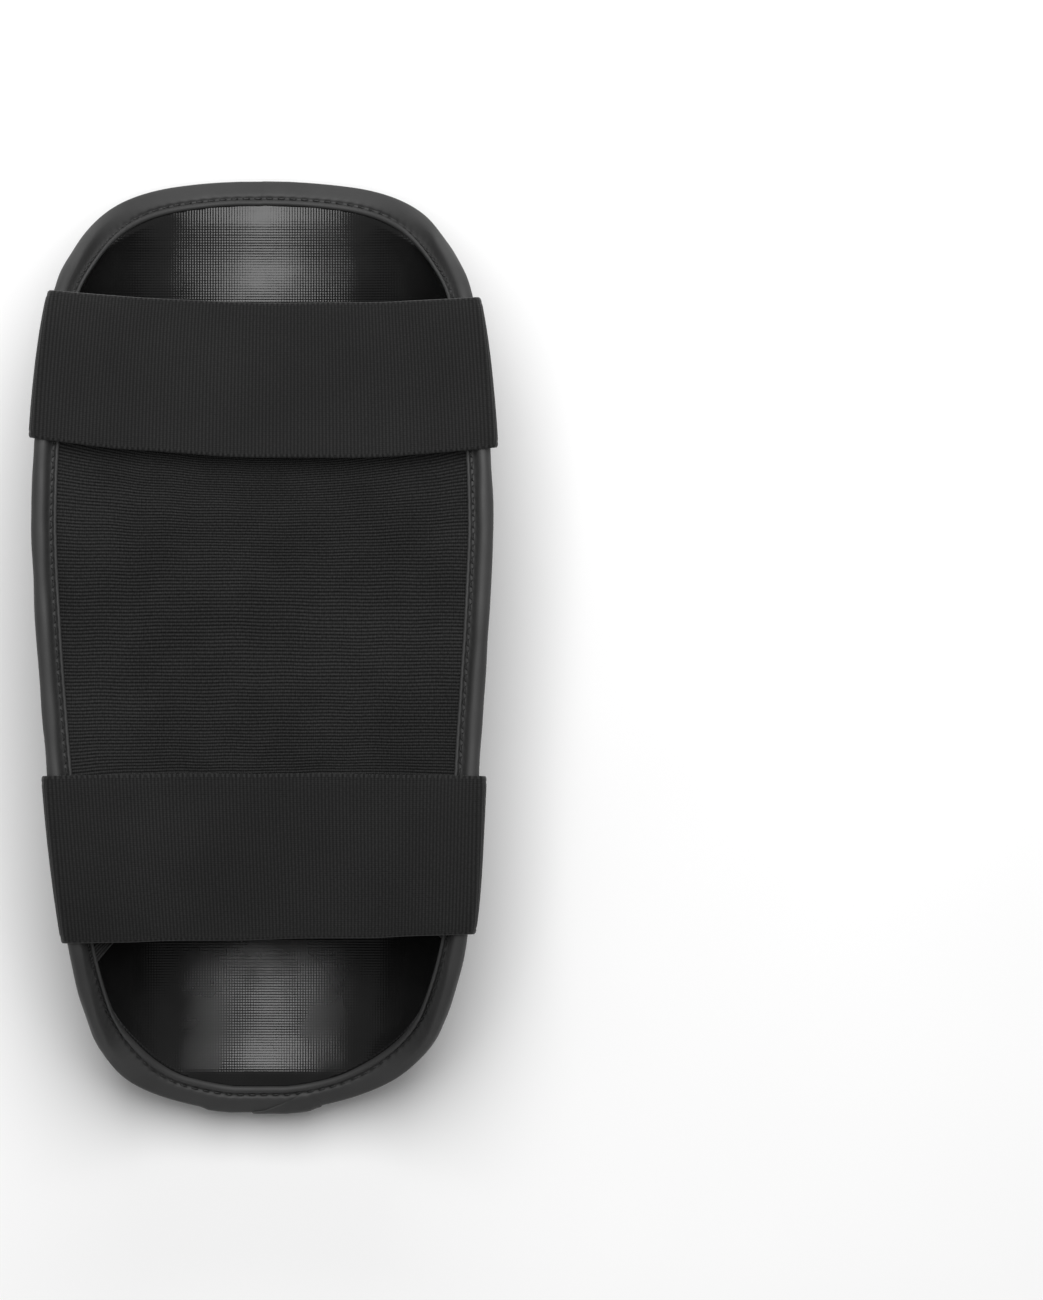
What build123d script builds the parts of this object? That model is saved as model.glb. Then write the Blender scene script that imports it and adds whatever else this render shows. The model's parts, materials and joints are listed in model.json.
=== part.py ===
"""Shin guard: a padded gutter with an elastic calf panel and two straps that wrap over its rims.

Millimetres. +Z rises out of the hollow, +Y points to the knee end and +X to the side where the
straps close. The guard lies on the flat face of its shin ridge, which is at z = 0.
"""

import os
from math import cos, hypot, radians, sin

from build123d import *

os.makedirs("parts", exist_ok=True)

# Section of the gutter at full scale, on the face of the lining
CENTRE_RADIUS = 139.4
CENTRE_HALF_ANGLE = radians(15.0)
CORNER_RADIUS = 46.0
WALL_TURN = radians(76.0)
WALL_LENGTH = 62.0

# Taper: the section is at full scale at WIDEST_Y and shrinks towards both ends
WIDEST_Y = 45.0
KNEE_TAPER = 0.100
ANKLE_TAPER = 0.135
KNEE_TAPER_LENGTH = 100.0
ANKLE_TAPER_LENGTH = 158.0
STATIONS = (-178, -140, -100, -60, -20, 20, 60, 100, 140, 178)

# Outer edge of the binding in side view, from the knee end to the ankle end
RIM = (
    (170.5, -8.0), (165.5, 1.5), (158.0, 15.5), (150.5, 29.5), (143.0, 45.5), (133.0, 59.5),
    (119.0, 66.0), (90.0, 71.5), (45.0, 74.8), (0.0, 73.3), (-45.0, 69.9), (-90.0, 65.6),
    (-105.0, 61.0), (-120.0, 52.5), (-134.0, 40.0), (-146.0, 22.5), (-158.0, 5.8), (-170.5, -8.0),
)
RIM_FLOOR = -45.0
RIM_EDGE = Edge.make_spline([Vector(0, y, z) for y, z in RIM])

# Depths of the layers behind the face of the lining
LINING_DEPTH = 1.0
FOAM_DEPTH = 4.5
COVER_DEPTH = 5.5
BINDING = 1.0
BINDING_COVERAGE = 8.0
STITCH_INSET = 5.6
STITCH_WIDTH = 0.6
STITCH_HEIGHT = 0.3

# The binding's two ends overlap at the ankle end
FOLD_START_X = -4.0
FOLD_END_X = 16.0
FOLD_THICKNESS = 0.8

# Calf panel: elastic sheet between the side walls, below the binding
PANEL_KNEE_Y = 122.0
PANEL_ANKLE_Y = -116.0
PANEL_THICKNESS = 1.5
PANEL_DROP = 10.5
PANEL_SAG = 11.0
PANEL_SCOOP = 34.0
PANEL_SCOOP_HALF_WIDTH = 74.0

# Front pad on the shin side
PAD_KNEE_Y = 139.0
PAD_ANKLE_Y = -137.0
PAD_KNEE_HALF_WIDTH = 57.0
PAD_ANKLE_HALF_WIDTH = 45.0
PAD_CORNER_RADIUS = 34.0
PAD_DEPTH = 15.5
PAD_SKIN = 1.2
PLATE_DEPTH = 7.5
PLATE_INSET = 7.0
WELT_WIDTH = 2.6
WELT_DEPTH = 8.1

# Shin ridge, with the flat face that the guard lies on
RIDGE_DEPTH = 22.5
RIDGE_HALF_WIDTH = 20.0
RIDGE_HALF_LENGTH = 116.0
RIDGE_FLARE = 24.0
RIDGE_SKIN = 1.3
RIDGE_EDGE_RADIUS = 1.0

# Straps
STRAP_THICKNESS = 1.8
STRAP_STEPS = 6
STRAP_RIM_GAP = 0.5
STRAP_WALL_GAP = 2.8
STRAP_JOINT_GAP = 0.3
ROOT_GAP = 0.15
STRAP_SAG = 7.0
INNER_JOINT_INSET = 14.0
OUTER_JOINT_DROP = 4.0
TAB_LENGTH = 46.0
ROOT_LENGTH = 42.0
HOOK_START = 20.0
HOOK_END = 43.0
HOOK_THICKNESS = 1.0
PATCH_THICKNESS = 1.0
PATCH_MARGIN = 3.0
PATCH_START = 11.5
PATCH_END = 47.0
STRAPS = {"upper": (130.5, 74.5), "lower": (-45.7, -105.7)}


def scale_at(y):
    """Scale of the section at a place along the guard."""
    if y > WIDEST_Y:
        return 1.0 - KNEE_TAPER * ((y - WIDEST_Y) / KNEE_TAPER_LENGTH) ** 2
    return 1.0 - ANKLE_TAPER * ((WIDEST_Y - y) / ANKLE_TAPER_LENGTH) ** 1.2


def section_point(y, depth, angle):
    """Point of the section where it has turned by angle, at a depth behind the lining's face."""
    scale = scale_at(y)
    if angle <= CENTRE_HALF_ANGLE:
        radius = scale * CENTRE_RADIUS + depth
        return radius * sin(angle), scale * CENTRE_RADIUS - radius * cos(angle)
    shift = scale * (CENTRE_RADIUS - CORNER_RADIUS)
    radius = scale * CORNER_RADIUS + depth
    centre_x = shift * sin(CENTRE_HALF_ANGLE)
    centre_z = scale * CENTRE_RADIUS - shift * cos(CENTRE_HALF_ANGLE)
    return centre_x + radius * sin(angle), centre_z - radius * cos(angle)


def wall_x(y, depth, z):
    """Half width of the straight wall at a height, at a depth behind the lining's face."""
    x, start_z = section_point(y, depth, WALL_TURN)
    return x + (z - start_z) * cos(WALL_TURN) / sin(WALL_TURN)


def rim_z(y):
    """Height of the binding's outer edge at a place along the guard."""
    low, high = 0.0, 1.0
    for _ in range(30):
        middle = (low + high) / 2
        if RIM_EDGE.position_at(middle).Y > y:
            low = middle
        else:
            high = middle
    return RIM_EDGE.position_at(low).Z


def section_wire(y, depth):
    """Closed section of the space inside one layer, open side up."""
    middle = (CENTRE_HALF_ANGLE + WALL_TURN) / 2
    centre = section_point(y, depth, CENTRE_HALF_ANGLE)
    corner = section_point(y, depth, middle)
    wall = section_point(y, depth, WALL_TURN)
    top = (wall[0] + WALL_LENGTH * cos(WALL_TURN), wall[1] + WALL_LENGTH * sin(WALL_TURN))

    def right(point):
        return (point[0], y, point[1])

    def left(point):
        return (-point[0], y, point[1])

    return Wire([
        Edge.make_line(left(top), left(wall)),
        Edge.make_three_point_arc(left(wall), left(corner), left(centre)),
        Edge.make_three_point_arc(left(centre), (0, y, -depth), right(centre)),
        Edge.make_three_point_arc(right(centre), right(corner), right(wall)),
        Edge.make_line(right(wall), right(top)),
        Edge.make_line(right(top), left(top)),
    ])


PLUGS = {}


def plug(depth):
    """Solid that fills the hollow down to a depth behind the lining's face."""
    if depth not in PLUGS:
        PLUGS[depth] = Solid.make_loft([section_wire(y, depth) for y in STATIONS])
    return PLUGS[depth]


def side_prism(grow):
    """Everything below the rim line, with that line moved outwards by grow."""
    moved = []
    for index, (y, z) in enumerate(RIM):
        before = RIM[max(index - 1, 0)]
        after = RIM[min(index + 1, len(RIM) - 1)]
        run_y = after[0] - before[0]
        run_z = after[1] - before[1]
        length = hypot(run_y, run_z)
        moved.append((0, y + grow * run_z / length, z - grow * run_y / length))
    low_start = (0, moved[0][1], RIM_FLOOR)
    low_end = (0, moved[-1][1], RIM_FLOOR)
    outline = Wire([
        Edge.make_line(low_start, moved[0]),
        Edge.make_spline([Vector(*point) for point in moved]),
        Edge.make_line(moved[-1], low_end),
        Edge.make_line(low_end, low_start),
    ])
    return extrude(Face(outline), amount=130, dir=(1, 0, 0), both=True)


def layer(inner, outer):
    """Shell between two depths behind the lining's face."""
    return plug(outer) - plug(inner)


def pad_outline(inset):
    """Plan outline of the front pad, moved inwards by inset."""
    corners = [
        (PAD_KNEE_HALF_WIDTH, PAD_KNEE_Y),
        (-PAD_KNEE_HALF_WIDTH, PAD_KNEE_Y),
        (-PAD_ANKLE_HALF_WIDTH, PAD_ANKLE_Y),
        (PAD_ANKLE_HALF_WIDTH, PAD_ANKLE_Y),
    ]
    face = Face(Wire.make_polygon([(x, y, 0) for x, y in corners]))
    face = fillet(face.vertices(), PAD_CORNER_RADIUS)
    return offset(face, amount=-inset) if inset else face


def plan_prism(face):
    """Upright prism through the whole guard."""
    return extrude(Pos(0, 0, -60) * face, amount=160, dir=(0, 0, 1))


def ridge_block(inset):
    """Flared stadium of the ridge below the front pad, moved inwards by inset."""
    straight = 2 * (RIDGE_HALF_LENGTH - RIDGE_HALF_WIDTH)
    base = SlotCenterToCenter(straight, 2 * (RIDGE_HALF_WIDTH - inset), rotation=90)
    base = Pos(0, 0, inset - RIDGE_DEPTH) * base
    return extrude(base, amount=14, taper=-RIDGE_FLARE)


def blend(start, end, share):
    """Point part of the way between two points."""
    return tuple(a + (b - a) * share for a, b in zip(start, end))


class Strap:
    """Geometry of one strap: rim lines, the two joint lines and its sections."""

    def __init__(self, knee_y, ankle_y):
        self.knee_y = knee_y
        self.ankle_y = ankle_y
        self.inner = [self.inner_joint(y) for y in (knee_y, ankle_y)]
        self.outer = [self.outer_joint(y) for y in (knee_y, ankle_y)]
        self.stations = [
            knee_y + (ankle_y - knee_y) * step / STRAP_STEPS for step in range(STRAP_STEPS + 1)
        ]

    def inner_joint(self, y):
        z = rim_z(y)
        half_width = wall_x(y, COVER_DEPTH + BINDING, z)
        return half_width - INNER_JOINT_INSET, y, z + STRAP_RIM_GAP + STRAP_THICKNESS

    def outer_joint(self, y):
        z = rim_z(y)
        half_width = wall_x(y, COVER_DEPTH + BINDING, z)
        return half_width + STRAP_WALL_GAP + STRAP_THICKNESS, y, z - OUTER_JOINT_DROP

    def joints_at(self, y):
        share = (y - self.knee_y) / (self.ankle_y - self.knee_y)
        return blend(*self.inner, share), blend(*self.outer, share)

    def band_wire(self, y):
        """Section of the part across the hollow and over the right rim."""
        (inner_x, _, inner_z), (outer_x, _, outer_z) = self.joints_at(y)
        rim = rim_z(y) + STRAP_RIM_GAP
        edge = wall_x(y, COVER_DEPTH + BINDING, rim_z(y))
        lean_x, lean_z = cos(WALL_TURN), sin(WALL_TURN)
        low = []
        high = []
        start_x = STRAP_JOINT_GAP - inner_x
        low.append((start_x, inner_z - STRAP_THICKNESS))
        high.append((start_x, inner_z))
        low.append((0, inner_z - STRAP_THICKNESS - STRAP_SAG))
        high.append((0, inner_z - STRAP_SAG))
        low.append((edge - 10, rim))
        high.append((edge - 10, rim + STRAP_THICKNESS))
        low.append((edge - 1, rim))
        high.append((edge - 1, rim + STRAP_THICKNESS))
        end = (outer_x + lean_x * STRAP_JOINT_GAP, outer_z + lean_z * STRAP_JOINT_GAP)
        inside = (end[0] - STRAP_THICKNESS * lean_z, end[1] + STRAP_THICKNESS * lean_x)
        low.append(inside)
        high.append(end)
        return self.ribbon_wire(y, low, high)

    def ribbon_wire(self, y, low, high):
        """Closed section: sagging arc, flat over the rim, rounded corner and end."""
        low = [(x, y, z) for x, z in low]
        high = [(x, y, z) for x, z in high]
        turn_low = (low[4][0] - 0.6, y, low[3][2] - 0.9)
        turn_high = (high[4][0] - 0.9, y, high[3][2] - 1.2)
        return Wire([
            Edge.make_three_point_arc(low[0], low[1], low[2]),
            Edge.make_line(low[2], low[3]),
            Edge.make_three_point_arc(low[3], turn_low, low[4]),
            Edge.make_line(low[4], high[4]),
            Edge.make_three_point_arc(high[4], turn_high, high[3]),
            Edge.make_line(high[3], high[2]),
            Edge.make_three_point_arc(high[2], high[1], high[0]),
            Edge.make_line(high[0], low[0]),
        ])

    def root_wire(self, y):
        """Section of the part sewn to the left wing, up to the inner joint."""
        (inner_x, _, inner_z), _ = self.joints_at(y)
        rim = rim_z(y) + STRAP_RIM_GAP
        edge = wall_x(y, COVER_DEPTH + BINDING, rim_z(y))
        lean_x, lean_z = cos(WALL_TURN), sin(WALL_TURN)
        start = inner_x + STRAP_JOINT_GAP
        thick = STRAP_THICKNESS
        foot_x = wall_x(y, COVER_DEPTH + PATCH_THICKNESS + ROOT_GAP, rim - ROOT_LENGTH)
        low = [
            (start, inner_z - thick),
            (edge - 8, rim),
            (edge - 0.2, rim),
            (edge + 0.4, rim - 0.6),
            (foot_x, rim - ROOT_LENGTH),
        ]
        high = [
            (start, inner_z),
            (edge - 8, rim + thick),
            (edge + 0.4, rim + thick),
            (edge + 0.4 + thick, rim - 0.2),
            (foot_x + thick * lean_z, rim - ROOT_LENGTH - thick * lean_x),
        ]
        points = low + high[::-1]
        return Wire.make_polygon([(-x, y, z) for x, z in points])

    def tab_wire(self, y):
        """Section of the free end, down the outside of the right wing."""
        return self.tab_slab(y, STRAP_JOINT_GAP, TAB_LENGTH, 0, STRAP_THICKNESS)

    def hook_wire(self, y):
        """Section of the hook patch on the inside of the free end."""
        near, far = STRAP_THICKNESS, STRAP_THICKNESS + HOOK_THICKNESS
        return self.tab_slab(y, HOOK_START, HOOK_END, near, far)

    def tab_slab(self, y, start, end, near, far):
        _, (outer_x, _, outer_z) = self.joints_at(y)
        lean_x, lean_z = cos(WALL_TURN), sin(WALL_TURN)

        def place(along, inwards):
            x = outer_x - lean_x * along - lean_z * inwards
            z = outer_z - lean_z * along + lean_x * inwards
            return (x, y, z)

        corners = [place(start, near), place(end, near), place(end, far), place(start, far)]
        return Wire.make_polygon(corners)

    def span(self, wire_at, margin=0.0):
        """Loft of one section along the strap's width."""
        stations = list(self.stations)
        stations[0] -= margin
        stations[-1] += margin
        return Solid.make_loft([wire_at(y) for y in stations], ruled=True)

    def wall_patch(self, side):
        """Patch on the outside of a wing, below the binding."""
        reach = side_prism(-BINDING)
        band = Pos(0, 0, -PATCH_START) * reach - Pos(0, 0, -PATCH_END) * reach
        middle_y = (self.knee_y + self.ankle_y) / 2
        width = self.knee_y - self.ankle_y + 2 * PATCH_MARGIN
        window = Pos(side * 80, middle_y, 40) * Box(70, width, 120)
        return layer(COVER_DEPTH, COVER_DEPTH + PATCH_THICKNESS) & band & window


def calf_panel():
    """Elastic sheet that sags between the walls, with scooped free edges."""
    sections = []
    for y in (PANEL_ANKLE_Y, -60, 0, 60, PANEL_KNEE_Y):
        side_z = rim_z(max(min(y, 100), -90)) - PANEL_DROP
        middle_z = side_z - PANEL_SAG
        low = PANEL_THICKNESS
        sections.append(Wire([
            Edge.make_three_point_arc((-92, y, side_z), (0, y, middle_z), (92, y, side_z)),
            Edge.make_line((92, y, side_z), (92, y, side_z - low)),
            Edge.make_three_point_arc(
                (92, y, side_z - low), (0, y, middle_z - low), (-92, y, side_z - low)
            ),
            Edge.make_line((-92, y, side_z - low), (-92, y, side_z)),
        ]))
    sheet = Solid.make_loft(sections)
    for edge_y, inwards in ((PANEL_KNEE_Y, -1), (PANEL_ANKLE_Y, 1)):
        half = PANEL_SCOOP_HALF_WIDTH
        deep = (0, edge_y + inwards * PANEL_SCOOP, 0)
        ends = ((-half, edge_y - inwards, 0), (half, edge_y - inwards, 0))
        scoop = Face(Wire([
            Edge.make_three_point_arc(ends[0], deep, ends[1]),
            Edge.make_line(ends[1], ends[0]),
        ]))
        sheet -= plan_prism(scoop)
    return sheet & plug(0) & side_prism(-BINDING_COVERAGE - BINDING)


def build():
    """Every node of the guard by name, with the lining's lowest line on the Y axis."""
    inside = side_prism(-BINDING)
    below_binding = side_prism(-BINDING_COVERAGE)
    nodes = {
        "lining": layer(0, LINING_DEPTH) & inside,
        "comfort_foam": layer(LINING_DEPTH, FOAM_DEPTH) & inside,
        "outer_cover": layer(FOAM_DEPTH, COVER_DEPTH) & inside,
    }
    ring = side_prism(0) - below_binding
    wrapped = layer(-BINDING, COVER_DEPTH + BINDING) & ring
    nodes["edge_binding"] = wrapped - (layer(0, COVER_DEPTH) & inside)

    stitch_ring = side_prism(-STITCH_INSET) - side_prism(-STITCH_INSET - STITCH_WIDTH)
    nodes["binding_stitching"] = layer(-BINDING - STITCH_HEIGHT, -BINDING) & stitch_ring

    fold_width = FOLD_END_X - FOLD_START_X
    fold_window = Pos((FOLD_START_X + FOLD_END_X) / 2, -160, 0) * Box(fold_width, 60, 60)
    fold_ring = side_prism(FOLD_THICKNESS) - side_prism(-BINDING_COVERAGE - FOLD_THICKNESS)
    fold = layer(-BINDING - FOLD_THICKNESS, COVER_DEPTH + BINDING + FOLD_THICKNESS)
    fold = fold & fold_ring & fold_window
    core = layer(-BINDING, COVER_DEPTH + BINDING) & side_prism(0)
    nodes["binding_end_fold"] = fold - core - nodes["binding_stitching"]

    nodes["calf_panel"] = calf_panel()

    pad = plan_prism(pad_outline(0))
    pad_core = layer(COVER_DEPTH, PAD_DEPTH - PAD_SKIN) & plan_prism(pad_outline(PAD_SKIN))
    nodes["front_plate"] = layer(COVER_DEPTH, PLATE_DEPTH) & plan_prism(pad_outline(PLATE_INSET))
    nodes["front_foam"] = pad_core - nodes["front_plate"]
    nodes["front_cover"] = (layer(COVER_DEPTH, PAD_DEPTH) & pad) - pad_core
    welt_ring = plan_prism(pad_outline(-WELT_WIDTH)) - pad
    nodes["front_welt"] = layer(COVER_DEPTH, WELT_DEPTH) & welt_ring

    ridge = fillet(ridge_block(0).edges().group_by(Axis.Z)[0], RIDGE_EDGE_RADIUS) - plug(PAD_DEPTH)
    nodes["ridge_foam"] = ridge_block(RIDGE_SKIN) - plug(PAD_DEPTH)
    nodes["ridge_cover"] = ridge - nodes["ridge_foam"]

    for name, (knee_y, ankle_y) in STRAPS.items():
        strap = Strap(knee_y, ankle_y)
        nodes[name + "_anchor_patch"] = strap.wall_patch(-1)
        nodes[name + "_strap_root"] = strap.span(strap.root_wire)
        nodes[name + "_strap_band"] = strap.span(strap.band_wire)
        nodes[name + "_strap_tab"] = strap.span(strap.tab_wire)
        nodes[name + "_hook_patch"] = strap.span(strap.hook_wire, PATCH_MARGIN)
        nodes[name + "_loop_patch"] = strap.wall_patch(1)
    return nodes


parts = build()
overall = Compound([solid for shape in parts.values() for solid in shape.solids()]).bounding_box()
middle = overall.center()
to_origin = Location((-middle.X, -middle.Y, -overall.min.Z))
for node_name, shape in parts.items():
    solids = shape.solids()
    body = solids[0] if len(solids) == 1 else Compound(solids)
    export_step(body.moved(to_origin), os.path.join("parts", node_name + ".step"))
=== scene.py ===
import json
import math

import bpy
import numpy as np
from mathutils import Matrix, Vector


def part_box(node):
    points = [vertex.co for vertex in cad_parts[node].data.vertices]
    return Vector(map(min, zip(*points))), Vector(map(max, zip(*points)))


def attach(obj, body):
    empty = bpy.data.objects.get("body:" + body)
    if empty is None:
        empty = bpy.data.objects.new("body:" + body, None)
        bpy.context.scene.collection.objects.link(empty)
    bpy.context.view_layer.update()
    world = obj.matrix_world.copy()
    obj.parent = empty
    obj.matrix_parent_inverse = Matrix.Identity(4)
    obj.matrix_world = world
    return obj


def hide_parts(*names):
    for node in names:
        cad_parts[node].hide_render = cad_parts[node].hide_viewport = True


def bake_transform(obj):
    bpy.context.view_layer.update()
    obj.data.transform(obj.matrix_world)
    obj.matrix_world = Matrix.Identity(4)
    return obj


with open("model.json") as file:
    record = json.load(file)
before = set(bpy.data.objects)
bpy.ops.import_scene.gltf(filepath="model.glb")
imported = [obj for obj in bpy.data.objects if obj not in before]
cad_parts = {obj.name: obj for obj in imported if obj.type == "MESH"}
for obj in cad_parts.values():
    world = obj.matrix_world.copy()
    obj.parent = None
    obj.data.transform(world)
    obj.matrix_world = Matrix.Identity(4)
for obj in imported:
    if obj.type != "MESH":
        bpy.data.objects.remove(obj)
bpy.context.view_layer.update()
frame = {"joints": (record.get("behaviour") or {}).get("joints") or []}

# ---- sizes, in millimetres
MM = 0.001
CENTRE_RADIUS = 139.4
CENTRE_HALF_ANGLE = math.radians(15.0)
CORNER_RADIUS = 46.0
WALL_TURN = math.radians(76.0)
WIDEST_Y = 45.0
KNEE_TAPER = 0.100
ANKLE_TAPER = 0.135
KNEE_TAPER_LENGTH = 100.0
ANKLE_TAPER_LENGTH = 158.0
ANKLE_TAPER_POWER = 1.2
RIM = (
    (170.5, -8.0), (165.5, 1.5), (158.0, 15.5), (150.5, 29.5), (143.0, 45.5), (133.0, 59.5),
    (119.0, 66.0), (90.0, 71.5), (45.0, 74.8), (0.0, 73.3), (-45.0, 69.9), (-90.0, 65.6),
    (-105.0, 61.0), (-120.0, 52.5), (-134.0, 40.0), (-146.0, 22.5), (-158.0, 5.2), (-170.5, -8.0),
)

LINING_DEPTH = 1.0
FOAM_DEPTH = 4.5
COVER_DEPTH = 5.5
BINDING = 1.0
OUTER_DEPTH = COVER_DEPTH + BINDING

PAD_KNEE_Y = 139.0
PAD_ANKLE_Y = -137.0
PAD_KNEE_HALF_WIDTH = 57.0
PAD_ANKLE_HALF_WIDTH = 45.0
PAD_CORNER_RADIUS = 34.0
PAD_DEPTH = 15.5
PAD_CHANNEL = 31.0
RIDGE_DEPTH = 22.5
RIDGE_HALF_WIDTH = 20.0
RIDGE_HALF_LENGTH = 116.0

STRAP_THICKNESS = 1.8
STRAP_RIM_GAP = 0.5
STRAP_SAG = 7.0
TAB_DROP = 50.0
TAB_LENGTH = 46.0
ROOT_LENGTH = 42.0
HOOK_START = 20.0
HOOK_END = 43.0
HOOK_SEAM_INSET = 1.5
PATCH_THICKNESS = 1.0
PATCH_MARGIN = 3.0
PATCH_START = 11.5
PATCH_END = 47.0
STRAPS = {"upper": (130.5, 74.5), "lower": (-45.7, -105.7)}
# how far each strap's middle line lies off its place at the left rim, the middle and the right rim
STRAP_LIE = {"upper": (2.1, -4.1, -1.2), "lower": (-0.8, 0.5, 1.1)}
STRAP_HALF_WIDTHS = {"upper": (27.2, 28.3, 27.6), "lower": (30.5, 30.3, 28.6)}
STRAP_REACH = 85.0

# the guard bends a little sideways towards the ankle
SWAY = 1.6
SWAY_Y = -108.0
SWAY_REACH = 48.0
ANKLE_SHIFT = 2.2
# the lining rises a little towards the ankle
ANKLE_RISE = 1.1

RIB_PITCH = 1.27
SAMPLES_PER_RIB = 4
STITCH_PITCH = 4.3
STITCH_SINK = 0.12
# pitch, length and radius of the stitches of each kind of seam
BINDING_SEAM = (STITCH_PITCH, 3.2, 0.34)
PAD_SEAM = (4.0, 3.0, 0.34)
STRAP_SEAM = (3.0, 2.3, 0.30)
HOOK_SEAM = (3.0, 2.3, 0.28)

# ---- place in the frame
lining_low, lining_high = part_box("lining")
ridge_low, ridge_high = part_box("ridge_cover")
ORIGIN = np.array([
    (lining_low[0] + lining_high[0]) / 2,
    (ridge_low[1] + ridge_high[1]) / 2,
    ridge_low[2] + RIDGE_DEPTH * MM,
])


def to_world(points):
    """Metres in the row's frame, from millimetres measured at the lining's lowest line."""
    return np.asarray(points, float) * MM + ORIGIN


def unit(vectors):
    """The same directions with length 1."""
    return vectors / np.linalg.norm(vectors, axis=-1)[..., None]


def travelled(line):
    """Distance along a line of points, at each point."""
    return np.concatenate([[0.0], np.cumsum(np.linalg.norm(np.diff(line, axis=0), axis=1))])


def between(at, steps, values):
    """Rows of values at distances along a line whose points lie at the distances in steps."""
    return np.stack([np.interp(at, steps, column) for column in values.T], -1)


def closed(line):
    """A ring of points with its first point repeated at its end."""
    return np.concatenate([line, line[:1]])


def smooth(value):
    """Soft step from 0 to 1."""
    value = np.clip(value, 0.0, 1.0)
    return value * value * (3.0 - 2.0 * value)


def ripple(a, b, size, seed):
    """Soft unevenness between -1 and 1 over two coordinates, with features of a given size."""
    rng = np.random.default_rng(seed)
    total = np.zeros(np.broadcast(a, b).shape)
    waves = 7
    for _ in range(waves):
        angle, phase = rng.uniform(0, 2 * math.pi, 2)
        pitch = size * rng.uniform(0.7, 1.6)
        along = a * math.cos(angle) + b * math.sin(angle)
        total = total + np.sin(2 * math.pi * along / pitch + phase)
    return total / waves * 1.6


# ---- the gutter's surface
def scale_at(y):
    """Scale of the section at a place along the guard."""
    knee = 1.0 - KNEE_TAPER * ((y - WIDEST_Y) / KNEE_TAPER_LENGTH) ** 2
    share = np.maximum(WIDEST_Y - y, 0.0) / ANKLE_TAPER_LENGTH
    return np.where(y > WIDEST_Y, knee, 1.0 - ANKLE_TAPER * share ** ANKLE_TAPER_POWER)


def section(y, s):
    """Half width, height and turn of the lining's face, at a distance s round the section."""
    scale = scale_at(y)
    around = np.abs(s)
    first = scale * CENTRE_RADIUS * CENTRE_HALF_ANGLE
    second = first + scale * CORNER_RADIUS * (WALL_TURN - CENTRE_HALF_ANGLE)
    corner_turn = CENTRE_HALF_ANGLE + (around - first) / (scale * CORNER_RADIUS)
    turn = np.where(around < first, around / (scale * CENTRE_RADIUS), corner_turn)
    turn = np.minimum(turn, WALL_TURN)
    shift = scale * (CENTRE_RADIUS - CORNER_RADIUS)
    past = np.maximum(around - second, 0.0)
    radius = np.where(around < first, scale * CENTRE_RADIUS, scale * CORNER_RADIUS)
    centre_x = np.where(around < first, 0.0, shift * math.sin(CENTRE_HALF_ANGLE))
    centre_z = np.where(around < first, 0.0, shift * math.cos(CENTRE_HALF_ANGLE))
    x = centre_x + radius * np.sin(turn) + past * math.cos(WALL_TURN)
    z = scale * CENTRE_RADIUS - centre_z - radius * np.cos(turn) + past * math.sin(WALL_TURN)
    return x, z, turn


def straight(y, s, depth):
    """Points at a depth behind the lining's face, on a guard that doesn't bend sideways."""
    y, s, depth = np.broadcast_arrays(*(np.asarray(v, float) for v in (y, s, depth)))
    x, z, turn = section(y, s)
    side = np.where(s < 0, -1.0, 1.0)
    return np.stack([side * (x + depth * np.sin(turn)), y, z - depth * np.cos(turn)], -1)


def sway(y):
    """Sideways bend of the guard at a place along it."""
    y = np.asarray(y, float)
    return SWAY * np.exp(-((y - SWAY_Y) / SWAY_REACH) ** 2) - ANKLE_SHIFT * smooth((-138.0 - y) / 28.0)


def place(y, s, depth):
    """Points at a depth behind the lining's face."""
    points = straight(y, s, depth)
    points[..., 0] += sway(points[..., 1])
    return points


def outward(y, s):
    """Directions from the lining's face towards the outside of the guard."""
    y, s = np.broadcast_arrays(np.asarray(y, float), np.asarray(s, float))
    turn = section(y, s)[2]
    side = np.where(s < 0, -1.0, 1.0)
    return np.stack([side * np.sin(turn), np.zeros_like(turn), -np.cos(turn)], -1)


# the search for a place round the section: where it ends, and how often it is halved
FARTHEST_ROUND = 220.0
HALVINGS = 40


def around_at(y, value, depth, axis):
    """Distance round the section where the surface at a depth reaches x (axis 0) or z (axis 2)."""
    y, value = np.broadcast_arrays(np.asarray(y, float), np.asarray(value, float))
    low = np.zeros(y.shape)
    high = np.full(y.shape, FARTHEST_ROUND)
    for _ in range(HALVINGS):
        middle = (low + high) / 2
        below = straight(y, middle, depth)[..., axis] < value
        low = np.where(below, middle, low)
        high = np.where(below, high, middle)
    return low


def spline(points, count):
    """Natural cubic spline through points, sampled evenly along its length."""
    points = np.asarray(points, float)
    knots = travelled(points)
    gaps = np.diff(knots)
    size = len(points)
    matrix = np.eye(size)
    right = np.zeros_like(points)
    for i in range(1, size - 1):
        matrix[i, i - 1:i + 2] = gaps[i - 1], 2 * (gaps[i - 1] + gaps[i]), gaps[i]
        slope_after = (points[i + 1] - points[i]) / gaps[i]
        slope_before = (points[i] - points[i - 1]) / gaps[i - 1]
        right[i] = 6 * (slope_after - slope_before)
    bends = np.linalg.solve(matrix, right)
    at = np.linspace(0.0, knots[-1], 12 * count)
    cell = np.clip(np.searchsorted(knots, at, side="right") - 1, 0, size - 2)
    gap = gaps[cell][:, None]
    before = (knots[cell + 1] - at)[:, None]
    after = (at - knots[cell])[:, None]
    curve = (
        bends[cell] * before ** 3 / (6 * gap)
        + bends[cell + 1] * after ** 3 / (6 * gap)
        + (points[cell] / gap - bends[cell] * gap / 6) * before
        + (points[cell + 1] / gap - bends[cell + 1] * gap / 6) * after
    )
    return even(curve, count)


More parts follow.
